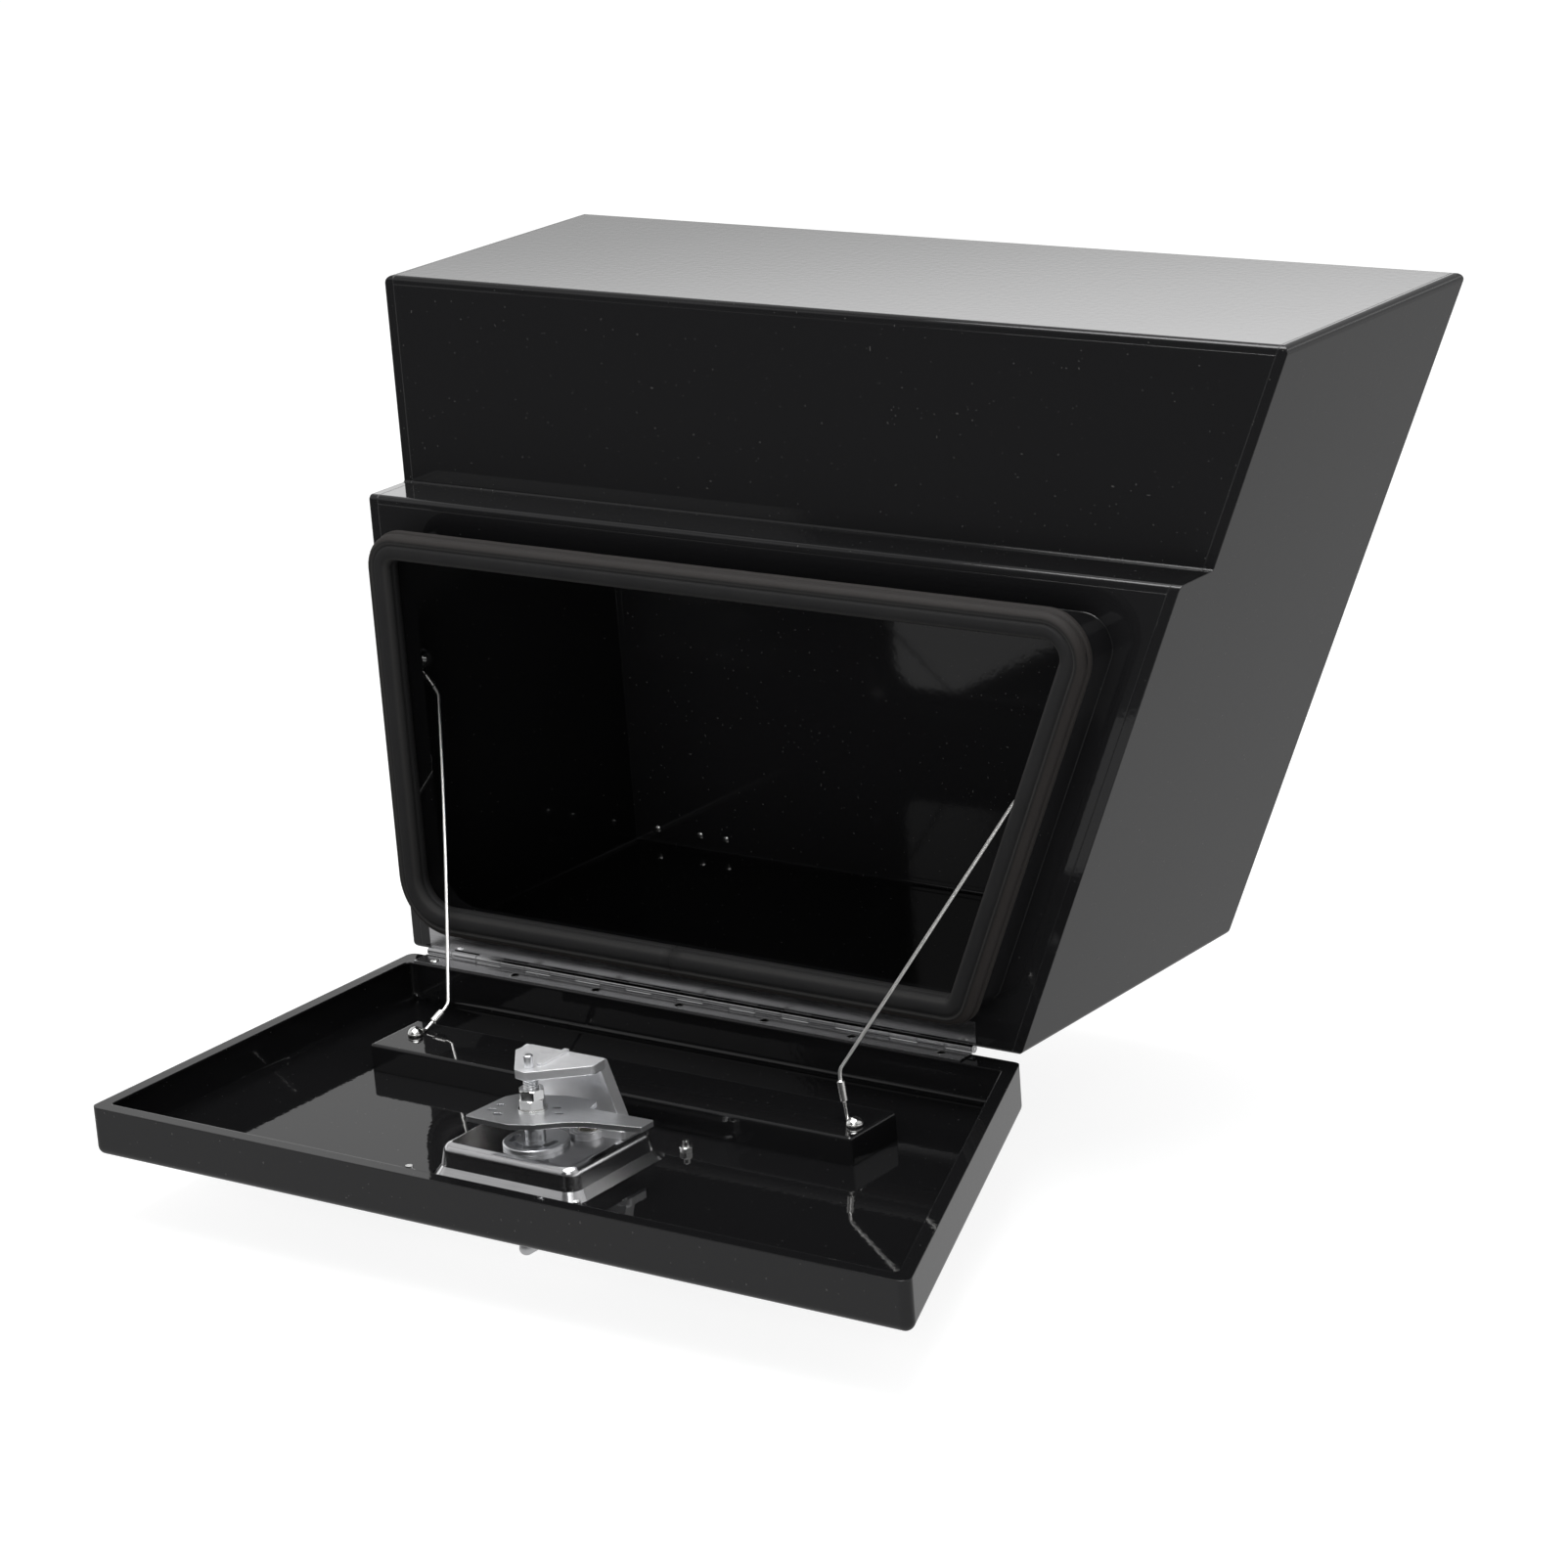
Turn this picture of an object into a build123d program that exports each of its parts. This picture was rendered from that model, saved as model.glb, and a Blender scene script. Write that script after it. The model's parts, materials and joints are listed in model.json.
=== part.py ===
from build123d import *

import math
import os

# Truck tool box with a drop-down door, modelled with the door open.
# Millimetres. The origin is the centre of the top panel's upper face, +Z is up,
# -Y is the door side, and +X points towards the slanting end.

# ---- Body sheet metal ------------------------------------------------------
TOP_LENGTH = 600.0
BODY_HEIGHT = 398.0
LOWER_DEPTH = 216.0  # floor to ledge, front plane to back
LEDGE_DEPTH = 32.0  # how far the upper front is set back
LEDGE_DROP = 122.0  # top face down to the ledge
END_SLOPE = 0.4255  # the slanting end's run per unit of drop
SHEET = 1.2

LEFT = -TOP_LENGTH / 2
BACK = (LOWER_DEPTH - LEDGE_DEPTH) / 2
UPPER_FRONT = -BACK
FRONT = UPPER_FRONT - LEDGE_DEPTH
BOTTOM = -BODY_HEIGHT
LEDGE = -LEDGE_DROP
END_SECANT = math.hypot(1, END_SLOPE)
SEAM = 6.0  # side panels wrap this far round each corner

# ---- Mouth, collar and seal ------------------------------------------------
MOUTH_LEFT = LEFT + 18.0  # the seal's outer outline
MOUTH_TOP = -134.0
MOUTH_BOTTOM = -376.0
MOUTH_END_MARGIN = 16.5
MOUTH_RADII = {"bottom_left": 35.0, "top_left": 22.0, "top_right": 25.0, "bottom_right": 20.0}
SEAL_WIDTH = 17.0
SEAL_DEPTH = 11.0
SEAL_CROWN = FRONT - 31.0
COLLAR_OUTSIDE = (SEAL_WIDTH - SHEET) / 2  # inset of the collar from the outer outline
COLLAR_INSIDE = COLLAR_OUTSIDE + SHEET
COLLAR_EDGE = SEAL_CROWN + 6.0

# ---- Hinge -----------------------------------------------------------------
KNUCKLE_R = 2.4
PIN_R = 1.0
RUNNING_GAP = 0.05
LEAF = 1.0
LEAF_WIDTH = 15.0
HINGE_Y = FRONT - KNUCKLE_R
HINGE_Z = BOTTOM + 0.5
HINGE_START = -286.0
HINGE_LENGTH = 388.0
KNUCKLES = 21
KNUCKLE_GAP = 0.4
RIVET_COUNT = 7
RIVET_FIRST_X = -274.0
RIVET_PITCH = 60.0
RIVET_Y = HINGE_Y - 9.4

# ---- Door pan and stiffener (door open, skin facing down) ------------------
RIM = HINGE_Z - KNUCKLE_R
DOOR_DEPTH = 28.3
DOOR_SKIN = RIM - DOOR_DEPTH
DOOR_FLOOR = DOOR_SKIN + SHEET
DOOR_HINGE_EDGE = FRONT - 4.7
DOOR_REACH = 275.0
DOOR_FREE_EDGE = DOOR_HINGE_EDGE - DOOR_REACH
DOOR_LEFT = LEFT + 1.5
DOOR_END_X = 133.0  # slanting edge, at the hinge side
DOOR_LIP = 8.0
DOOR_HINGE_LIP = 14.0
DOOR_CORNER_R = 5.0
DOOR_BEND_R = 5.0

STIFFENER_X = (-240.0, 96.0)
STIFFENER_Y = (-237.0, -194.0)
STIFFENER_RISE = 16.0
STIFFENER_TOP = DOOR_FLOOR + STIFFENER_RISE

# ---- Lock ------------------------------------------------------------------
SPINDLE_X = -52.0
SPINDLE_Y = -319.0
DISH_X = -56.0
DISH_Y = -306.0
DISH_LENGTH = 103.0
DISH_WIDTH = 83.0
DISH_FLARE = 4.0  # the wall spreads this far at its foot
DISH_FLARE_RISE = 6.0
DISH_TAPER = 2.0
DISH_TOP = DOOR_SKIN + 18.2
DISH_SHEET = 1.2
DISH_SHOULDER = 5.5
FLANGE_BORDER = 12.0
SCREW_X = 57.5
SCREW_Y = 47.5
SCREW_R = 2.0
SCREW_HOLE_R = 2.1
SPINDLE_R = 5.5
FOLD_Z = DOOR_SKIN + 6.2
FOLD_PIN_R = 1.5
HANDLE_REACH = 42.0
HANDLE_HALF_BAR = 20.0
HANDLE_R = 4.0
TONGUE = 5.0
DISC_R = 18.0
DISC_THICK = 3.0
CAM_LOW = HINGE_Z + 4.5
CAM_THICK = 3.0
SQUARE = 8.0
THREAD_R = 3.9
NUT_FLATS = 13.0
NUT_HEIGHT = 5.5
WASHER_THICK = 1.2
TIP_R = 2.5
TIP_TOP = -359.0
BRACKET_TOP = -366.0
BRACKET_THICK = 5.0
FOOT_THICK = 4.5
KEY_X = SPINDLE_X + 17.2
KEY_Y = SPINDLE_Y + 22.3
KEY_PLUG_R = 5.0
KEY_BARREL_R = 7.3
KEY_BOSS_HEIGHT = 3.6
KEY_TOP = DISH_TOP + 4.2

# ---- Wire stays ------------------------------------------------------------
WIRE_R = 1.0
SLEEVE_R = 2.1
EYE_R = 3.7  # centre line of the loop round its stud
EYE_KNEE = 7.5  # the eye's neck lies flat this far out, then rises to its sleeve
STUD_R = 2.5
WALL_SLOPE_OUT = Vector(1, 0, -END_SLOPE).normalized()
LEFT_STUD = Vector(LEFT + SHEET, -97.0, -227.0)
RIGHT_STUD = Vector(
    TOP_LENGTH / 2 - END_SLOPE * 227.0 - SHEET * END_SECANT, -97.0, -227.0
)
LEFT_DOOR_BOLT = Vector(-224.6, -214.3, STIFFENER_TOP)
RIGHT_DOOR_BOLT = Vector(87.3, -220.8, STIFFENER_TOP)
LEFT_WIRE = [
    Vector(-290.82, -94.57, -244.41),
    Vector(-288.0, -94.0, -248.5),
    Vector(-266.2, -122.8, -294.8),
    Vector(-240.1, -159.3, -352.5),
    Vector(-219.4, -190.0, -400.2),
    Vector(-220.31, -194.27, -402.64),
]
RIGHT_WIRE = [
    Vector(184.2, -111.85, -231.82),
    Vector(167.0, -122.0, -233.0),
    Vector(155.0, -147.4, -240.2),
    Vector(75.0, -215.0, -384.0),
    Vector(76.04, -215.49, -388.87),
]
EDGE_ARC = 12.0  # the right wire bends this tightly where it rounds the mouth's edge
NO_LIMIT = 10000.0


def end_x(z, inset=0.0):
    """X of the slanting end at height z, moved inwards square to the end."""
    return TOP_LENGTH / 2 + END_SLOPE * z - inset * END_SECANT


def door_end_x(y, inset=0.0):
    """X of the door's slanting edge at y, moved inwards square to it."""
    return DOOR_END_X - END_SLOPE * (y - DOOR_HINGE_EDGE) - inset * END_SECANT


def rounded_face(corners):
    """A closed flat face from (x, y, corner radius) triples."""
    face = make_face(Polyline([(x, y) for x, y, _ in corners], close=True))
    for x, y, radius in corners:
        if radius > 0:
            corner = face.vertices().sort_by_distance((x, y, 0))[0]
            face = fillet(corner, radius)
    return face


def block(x, y, z):
    """A box between the pairs x, y and z."""
    return Pos(sum(x) / 2, sum(y) / 2, sum(z) / 2) * Box(x[1] - x[0], y[1] - y[0], z[1] - z[0])


def upright(x, y, z, radius):
    """A cylinder standing at (x, y) between the heights z."""
    return Pos(x, y, (z[0] + z[1]) / 2) * Cylinder(radius, z[1] - z[0])


def cylinder_from(origin, direction, radius, length):
    """A cylinder that starts at origin and runs along direction."""
    face = Plane(origin=origin, z_dir=direction) * Circle(radius)
    return extrude(face, length)


def hex_nut(origin, direction, flats, height, hole):
    """A hexagonal nut whose base face is at origin."""
    plane = Plane(origin=origin, z_dir=direction)
    outline = RegularPolygon(flats / 2, 6, major_radius=False) - Circle(hole)
    body = extrude(plane * outline, height)
    crown = Pos(0, 0, height / 2) * Cylinder(flats * 0.56, height)
    crown = chamfer(crown.edges().group_by(Axis.Z)[-1], height * 0.12)
    return body & (plane.location * crown)


def washer(origin, direction, outside, hole, thick):
    """A flat ring whose base face is at origin."""
    return extrude(Plane(origin=origin, z_dir=direction) * (Circle(outside) - Circle(hole)), thick)


def dome(origin, direction, radius, height):
    """A low domed head whose flat face is at origin."""
    ball_r = (radius**2 + height**2) / (2 * height)
    cap = Pos(0, 0, height - ball_r) * Sphere(ball_r) & Pos(0, 0, height / 2) * Box(
        3 * radius, 3 * radius, height
    )
    return Plane(origin=origin, z_dir=direction).location * cap


# ---- Body ------------------------------------------------------------------
def body_block(inset):
    """The body's full outline as one block, moved inwards by inset."""
    low, high = BOTTOM + inset, -inset
    end = rounded_face(
        [
            (LEFT + inset, low, 4 - inset),
            (LEFT + inset, high, 5 - inset),
            (end_x(high, inset), high, 3.5 - inset),
            (end_x(low, inset), low, 6 - inset),
        ]
    )
    side = rounded_face(
        [
            (FRONT + inset, low, 3 - inset),
            (FRONT + inset, LEDGE - inset, 3 - inset),
            (UPPER_FRONT + inset, LEDGE - inset, 1.5 + inset),
            (UPPER_FRONT + inset, high, 3 - inset),
            (BACK - inset, high, 4 - inset),
            (BACK - inset, low, 3 - inset),
        ]
    )
    return extrude(Plane.XZ * end, 300, both=True) & extrude(Plane.YZ * side, 400, both=True)


def mouth_face(inset):
    """The mouth's rounded outline in the XZ plane, inset from the seal's outside."""
    high = MOUTH_TOP - inset
    low = MOUTH_BOTTOM + inset
    margin = MOUTH_END_MARGIN + inset

    def radius(corner):
        return max(MOUTH_RADII[corner] - inset, 4.0)

    return rounded_face(
        [
            (MOUTH_LEFT + inset, low, radius("bottom_left")),
            (MOUTH_LEFT + inset, high, radius("top_left")),
            (end_x(high, margin), high, radius("top_right")),
            (end_x(low, margin), low, radius("bottom_right")),
        ]
    )


def mouth_prism(inset, near, far):
    """The mouth's outline extruded between two Y values, near < far."""
    return extrude(Plane.XZ.offset(-far) * mouth_face(inset), far - near)


def body_panels():
    """The welded body as its seven sheets, in the order that they are cut off."""
    outside = body_block(0)
    rest = outside - body_block(SHEET)
    far = 400
    end_zone = extrude(
        Plane.XZ
        * make_face(
            Polyline(
                [
                    (end_x(20, SEAM), 20),
                    (far, 20),
                    (far, BOTTOM - 20),
                    (end_x(BOTTOM - 20, SEAM), BOTTOM - 20),
                ],
                close=True,
            )
        ),
        far,
        both=True,
    )
    zones = {
        "left_side_panel": block((-far, LEFT + SEAM), (-far, far), (-far - 50, 50)),
        "right_side_panel": end_zone,
        "top_panel": block((-far, far), (-far, far), (-5, 50)),
        "upper_front_panel": block((-far, far), (-far, UPPER_FRONT + 4), (LEDGE - 5, 50)),
        "front_frame": block((-far, far), (-far, FRONT + 5), (-500, 50)),
        "floor_panel": block((-far, far), (-far, far), (-500, BOTTOM + 5)),
    }
    panels = {}
    for name, zone in zones.items():
        panels[name] = rest & zone
        rest = rest - zone
    panels["back_panel"] = rest
    collar = mouth_prism(COLLAR_OUTSIDE, COLLAR_EDGE, FRONT + SHEET)
    opening = mouth_prism(COLLAR_INSIDE, COLLAR_EDGE - 1, FRONT + 2 * SHEET)
    panels["front_frame"] = panels["front_frame"] + collar - opening
    return panels


def door_seal():
    """The rubber seal, slotted to sit on the collar's edge."""
    back = SEAL_CROWN + SEAL_DEPTH
    seal = mouth_prism(0, SEAL_CROWN, back) - mouth_prism(SEAL_WIDTH, SEAL_CROWN - 1, back + 1)
    crown = seal.faces().sort_by(Axis.Y)[0]
    seal = fillet(crown.edges(), 3.2)
    collar = mouth_prism(COLLAR_OUTSIDE, COLLAR_EDGE, back + 1)
    collar = collar - mouth_prism(COLLAR_INSIDE, COLLAR_EDGE - 1, back + 2)
    return seal - collar


def body_rivets():
    """Domed blind rivets seen inside: left wall, back wall and floor."""
    head_r, head_height = 3.0, 1.3
    inner_back = BACK - SHEET
    heads = [
        dome((LEFT + SHEET, -107.0, -381.0), (1, 0, 0), head_r, head_height),
        dome((-36.0, -67.0, BOTTOM + SHEET), (0, 0, 1), head_r, head_height),
    ]
    for x in (-282.0, -249.0, -229.0):
        heads.append(dome((x, inner_back, -388.0), (0, -1, 0), head_r, head_height))
    return heads


# ---- Hinge -----------------------------------------------------------------
def knuckle_spans(first):
    """The X spans of every second knuckle, from the one numbered first."""
    pitch = HINGE_LENGTH / KNUCKLES
    spans = []
    for i in range(first, KNUCKLES, 2):
        low = HINGE_START + i * pitch + KNUCKLE_GAP / 2
        spans.append((low, low + pitch - KNUCKLE_GAP))
    return spans


def barrel(span, bore):
    """One hinge knuckle along X, with its bore."""
    ring = Circle(KNUCKLE_R) - Circle(bore)
    return extrude(Plane(origin=(span[0], HINGE_Y, HINGE_Z), z_dir=(1, 0, 0)) * ring, span[1] - span[0])


def hinge_leaf_box():
    """The leaf on the body's front, standing up from the knuckles."""
    clear = HINGE_Z + KNUCKLE_R + 0.3
    face_y = (FRONT - LEAF, FRONT)
    leaf = block((HINGE_START, HINGE_START + HINGE_LENGTH), face_y, (clear, HINGE_Z + LEAF_WIDTH))
    for span in knuckle_spans(0):
        tab = block(span, face_y, (HINGE_Z, clear))
        tab = tab - Pos(0, HINGE_Y, HINGE_Z) * Rot(0, 90, 0) * Cylinder(KNUCKLE_R - 0.2, 2000)
        leaf = leaf + tab + barrel(span, PIN_R)
    return leaf


def hinge_leaf_door():
    """The leaf on the door's hinge-side lip."""
    clear = HINGE_Y - KNUCKLE_R - 0.3
    face_z = (RIM, RIM + LEAF)
    leaf = block(
        (HINGE_START, HINGE_START + HINGE_LENGTH), (HINGE_Y - LEAF_WIDTH, clear), face_z
    )
    for span in knuckle_spans(1):
        tab = block(span, (clear, HINGE_Y), face_z)
        tab = tab - Pos(0, HINGE_Y, HINGE_Z) * Rot(0, 90, 0) * Cylinder(KNUCKLE_R - 0.2, 2000)
        leaf = leaf + tab + barrel(span, PIN_R + RUNNING_GAP)
    return leaf


def hinge_pin():
    """The wire pin through all the knuckles."""
    return cylinder_from((HINGE_START, HINGE_Y, HINGE_Z), (1, 0, 0), PIN_R, HINGE_LENGTH)


def hinge_rivets():
    """Seven domed rivets that hold the leaf to the door's lip."""
    return [
        dome((RIVET_FIRST_X + i * RIVET_PITCH, RIVET_Y, RIM + LEAF), (0, 0, 1), 3.1, 1.1)
        for i in range(RIVET_COUNT)
    ]


# ---- Door ------------------------------------------------------------------
def door_face(inset, hinge_inset=None, radius=DOOR_CORNER_R):
    """The door's plan outline, moved inwards by inset."""
    near = DOOR_HINGE_EDGE - (inset if hinge_inset is None else hinge_inset)
    free = DOOR_FREE_EDGE + inset
    return rounded_face(
        [
            (DOOR_LEFT + inset, near, radius),
            (DOOR_LEFT + inset, free, radius),
            (door_end_x(free, inset), free, radius),
            (door_end_x(near, inset), near, radius),
        ]
    )


def door_block(inset, low, high, bend):
    """The door's outline between two heights, with its lower edge bent."""
    solid = extrude(Pos(0, 0, low) * door_face(inset, radius=DOOR_CORNER_R - inset), high - low)
    return fillet(solid.faces().sort_by(Axis.Z)[0].edges(), bend)


def door_pan():
    """Skin, four flanges and the return lips, folded from one sheet."""
    pan = door_block(0, DOOR_SKIN, RIM, DOOR_BEND_R - 0.1)
    pan = pan - door_block(SHEET, DOOR_FLOOR, RIM + 5, DOOR_BEND_R - SHEET - 0.2)
    lip = extrude(Pos(0, 0, RIM - SHEET) * door_face(0.3, radius=DOOR_CORNER_R - 0.3), SHEET)
    window = extrude(
        Pos(0, 0, RIM - 2 * SHEET) * door_face(DOOR_LIP, DOOR_HINGE_LIP, 3.0), 4 * SHEET
    )
    pan = pan + (lip - window)
    clearance = 0.3
    lock_hole = Pos(DISH_X, DISH_Y, DOOR_SKIN) * Box(
        DISH_LENGTH + 2 * clearance, DISH_WIDTH + 2 * clearance, 8
    )
    lock_hole = fillet(lock_hole.edges().filter_by(Axis.Z), 10)
    pan = pan - lock_hole
    for x, y in screw_places():
        pan = pan - upright(x, y, (DOOR_SKIN - 1, DOOR_FLOOR + 1), SCREW_HOLE_R)
    return pan


def door_stiffener():
    """A shallow channel pressed from sheet, open towards the skin."""
    low = DOOR_FLOOR
    outside = block(STIFFENER_X, STIFFENER_Y, (low, STIFFENER_TOP))
    outside = fillet(outside.edges().filter_by(Axis.Z), 2.0)
    outside = fillet(outside.faces().sort_by(Axis.Z)[-1].edges(), 1.8)
    inside = block(
        (STIFFENER_X[0] + SHEET, STIFFENER_X[1] - SHEET),
        (STIFFENER_Y[0] + SHEET, STIFFENER_Y[1] - SHEET),
        (low - 1, STIFFENER_TOP - SHEET),
    )
    channel = outside - inside
    for bolt in (LEFT_DOOR_BOLT, RIGHT_DOOR_BOLT):
        channel = channel - upright(bolt.X, bolt.Y, (low, STIFFENER_TOP + 1), STUD_R)
    return channel


# ---- Lock ------------------------------------------------------------------
def screw_places():
    """Centres of the lock's four flange screws."""
    return [(DISH_X + sx * SCREW_X, DISH_Y + sy * SCREW_Y) for sx in (-1, 1) for sy in (-1, 1)]


def dish_block(inset, low, high):
    """The dish's body with its flared foot, moved inwards by inset."""
    sections = [
        (low, 0.0, 10.0),
        (DOOR_SKIN + DISH_FLARE_RISE, DISH_FLARE, 8.0),
        (high, DISH_FLARE + DISH_TAPER, 7.5),
    ]
    faces = []
    for z, step, radius in sections:
        shrink = 2 * (inset + step)
        outline = RectangleRounded(DISH_LENGTH - shrink, DISH_WIDTH - shrink, radius - inset)
        faces.append(Pos(DISH_X, DISH_Y, z) * outline)
    solid = loft(faces[:2]) + loft(faces[1:])
    return fillet(solid.faces().sort_by(Axis.Z)[-1].edges(), DISH_SHOULDER - inset)


def lock_dish():
    """The pressed recess for the handle, with its flange outside the skin."""
    flange_low = DOOR_SKIN - DISH_SHEET
    flange = Pos(DISH_X, DISH_Y, flange_low) * extrude(
        RectangleRounded(DISH_LENGTH + 2 * FLANGE_BORDER, DISH_WIDTH + 2 * FLANGE_BORDER, 12),
        DISH_SHEET,
    )
    dish = dish_block(0, DOOR_SKIN, DISH_TOP) + flange
    dish = dish - dish_block(DISH_SHEET, DOOR_SKIN, DISH_TOP - DISH_SHEET)
    dish = dish - Pos(DISH_X, DISH_Y, flange_low - 1) * extrude(
        RectangleRounded(
            DISH_LENGTH - 2 * DISH_SHEET, DISH_WIDTH - 2 * DISH_SHEET, 10 - DISH_SHEET
        ),
        DISH_SHEET + 1,
    )
    through = (DISH_TOP - 3, DISH_TOP + 1)
    dish = dish - upright(SPINDLE_X, SPINDLE_Y, through, SPINDLE_R + RUNNING_GAP)
    dish = dish - upright(KEY_X, KEY_Y, through, KEY_BARREL_R)
    for x, y in screw_places():
        dish = dish - upright(x, y, (flange_low - 1, DOOR_SKIN + 1), SCREW_HOLE_R)
    return dish


def lock_screws():
    """Domed screws through the flange."""
    low = DOOR_SKIN - DISH_SHEET
    screws = []
    for x, y in screw_places():
        head = dome((x, y, low), (0, 0, -1), 4.0, 1.4)
        screws.append(head + upright(x, y, (low, DOOR_FLOOR + 6.5), SCREW_R))
    return screws


def lock_nuts():
    """The four hex nuts inside the door."""
    return [hex_nut((x, y, DOOR_FLOOR), (0, 0, 1), 7.0, 3.2, SCREW_R) for x, y in screw_places()]


def bearing_disc():
    """The slotted disc that steadies the spindle on top of the dish."""
    disc = upright(SPINDLE_X, SPINDLE_Y, (DISH_TOP, DISH_TOP + DISC_THICK), DISC_R)
    disc = chamfer(disc.edges().sort_by(Axis.Z)[-1], 0.6)
    disc = disc - upright(
        SPINDLE_X, SPINDLE_Y, (DISH_TOP - 1, DISH_TOP + 9), SPINDLE_R + RUNNING_GAP
    )
    slot = Pos(12.0, 0, 0) * Rot(0, 0, 90) * SlotOverall(10.0, 4.0)
    for turn in (200, 250, 300, 350):
        cutter = Pos(SPINDLE_X, SPINDLE_Y, DISH_TOP - 1) * Rot(0, 0, turn) * extrude(slot, 9)
        disc = disc - cutter
    return disc


def latch_spindle():
    """Fork, round shaft, square, thread and plain tip in one turned piece."""
    fork_top = DISH_TOP - DISH_SHEET - 0.3
    fork = Pos(SPINDLE_X, SPINDLE_Y, FOLD_Z) * Rot(90, 0, 0) * Cylinder(5.0, 12.0)
    fork = fork + block(
        (SPINDLE_X - 5, SPINDLE_X + 5), (SPINDLE_Y - 6, SPINDLE_Y + 6), (FOLD_Z, fork_top - 2)
    )
    gap = TONGUE / 2 + 0.15
    fork = fork - block(
        (SPINDLE_X - 9, SPINDLE_X + 9),
        (SPINDLE_Y - gap, SPINDLE_Y + gap),
        (FOLD_Z - 9, FOLD_Z + HANDLE_R + 0.6),
    )
    fork = fork - Pos(SPINDLE_X, SPINDLE_Y, FOLD_Z) * Rot(90, 0, 0) * Cylinder(FOLD_PIN_R, 20)
    shoulder = upright(SPINDLE_X, SPINDLE_Y, (fork_top - 2, fork_top), 7.8)
    round_shaft = upright(SPINDLE_X, SPINDLE_Y, (fork_top, CAM_LOW), SPINDLE_R)
    half = SQUARE / 2
    square = block(
        (SPINDLE_X - half, SPINDLE_X + half),
        (SPINDLE_Y - half, SPINDLE_Y + half),
        (CAM_LOW - 1, CAM_LOW + CAM_THICK),
    )
    thread_top = BRACKET_TOP - BRACKET_THICK - 0.8
    thread = upright(SPINDLE_X, SPINDLE_Y, (CAM_LOW, thread_top), THREAD_R)
    tip = upright(SPINDLE_X, SPINDLE_Y, (CAM_LOW, TIP_TOP), TIP_R)
    tip = chamfer(tip.edges().sort_by(Axis.Z)[-1], 0.6)
    return fork + shoulder + round_shaft + square + thread + tip


def cam_face():
    """The latch plate's outline, measured from the spindle."""
    outline = [
        (-28, -24, 2.0),
        (2, -24, 3.0),
        (15, -18.5, 8.0),
        (27, -8.5, 8.0),
        (37, -3.5, 8.0),
        (70, 3.5, 1.2),
        (70, 15, 1.2),
        (27, 14, 1.0),
        (24, 25, 2.0),
        (5, 23.5, 4.0),
        (-22, 14, 2.0),
        (-26, 8, 3.0),
    ]
    return rounded_face(outline)


def cam_plate():
    """The flat latch plate with its square hole and lightening slots."""
    plate = extrude(Pos(SPINDLE_X, SPINDLE_Y, CAM_LOW) * cam_face(), CAM_THICK)
    plate = plate - Pos(SPINDLE_X, SPINDLE_Y, CAM_LOW) * Box(SQUARE, SQUARE, 20)
    slot = SlotOverall(5.2, 2.6)
    for x, y, turn in ((-20, -10, 20), (-20, -3, 20), (-13, -14, 20), (10.5, 7, 20), (17, 1, 20)):
        cutter = extrude(Pos(SPINDLE_X + x, SPINDLE_Y + y, CAM_LOW - 1) * Rot(0, 0, turn) * slot, 9)
        plate = plate - cutter
    return plate


def cam_washer():
    """The flat washer between plate and nuts."""
    return washer(
        (SPINDLE_X, SPINDLE_Y, CAM_LOW + CAM_THICK), (0, 0, 1), 8.0, THREAD_R, WASHER_THICK
    )


def cam_nuts():
    """Nut and lock nut on the spindle's thread."""
    base = CAM_LOW + CAM_THICK + WASHER_THICK
    first = hex_nut((SPINDLE_X, SPINDLE_Y, base), (0, 0, 1), NUT_FLATS, NUT_HEIGHT, THREAD_R)
    second = hex_nut(
        (SPINDLE_X, SPINDLE_Y, base + NUT_HEIGHT), (0, 0, 1), NUT_FLATS, NUT_HEIGHT, THREAD_R
    )
    return [first, Pos(SPINDLE_X, SPINDLE_Y, 0) * Rot(0, 0, 14) * Pos(-SPINDLE_X, -SPINDLE_Y, 0) * second]


def fold_pin():
    """The cross pin that the handle folds on."""
    return Pos(SPINDLE_X, SPINDLE_Y, FOLD_Z) * Rot(90, 0, 0) * Cylinder(FOLD_PIN_R, 12.6)


def t_handle():
    """The folding T-handle, hanging straight down from its pin."""
    bar_z = FOLD_Z - HANDLE_REACH
    hub = Pos(SPINDLE_X, SPINDLE_Y, FOLD_Z) * Rot(90, 0, 0) * Cylinder(HANDLE_R, TONGUE)
    stem = block(
        (SPINDLE_X - HANDLE_R, SPINDLE_X + HANDLE_R),
        (SPINDLE_Y - TONGUE / 2, SPINDLE_Y + TONGUE / 2),
        (bar_z, FOLD_Z),
    )
    web_face = Plane.YZ.offset(SPINDLE_X - 2.5) * make_face(
        Polyline(
            [
                (SPINDLE_Y - TONGUE / 2, bar_z + 20),
                (SPINDLE_Y - 11, bar_z),
                (SPINDLE_Y + 11, bar_z),
                (SPINDLE_Y + TONGUE / 2, bar_z + 20),
            ],
            close=True,
        )
    )
    web = extrude(web_face, 5.0)
    bar_length = 2 * (HANDLE_HALF_BAR - HANDLE_R)
    bar = Pos(SPINDLE_X, SPINDLE_Y, bar_z) * Rot(90, 0, 0) * Cylinder(HANDLE_R, bar_length)
    for side in (-1, 1):
        bar = bar + Pos(SPINDLE_X, SPINDLE_Y + side * bar_length / 2, bar_z) * Sphere(HANDLE_R)
    handle = hub + stem + web + bar
    bore = Pos(SPINDLE_X, SPINDLE_Y, FOLD_Z) * Rot(90, 0, 0) * Cylinder(
        FOLD_PIN_R + RUNNING_GAP, 20
    )
    return handle - bore


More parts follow.
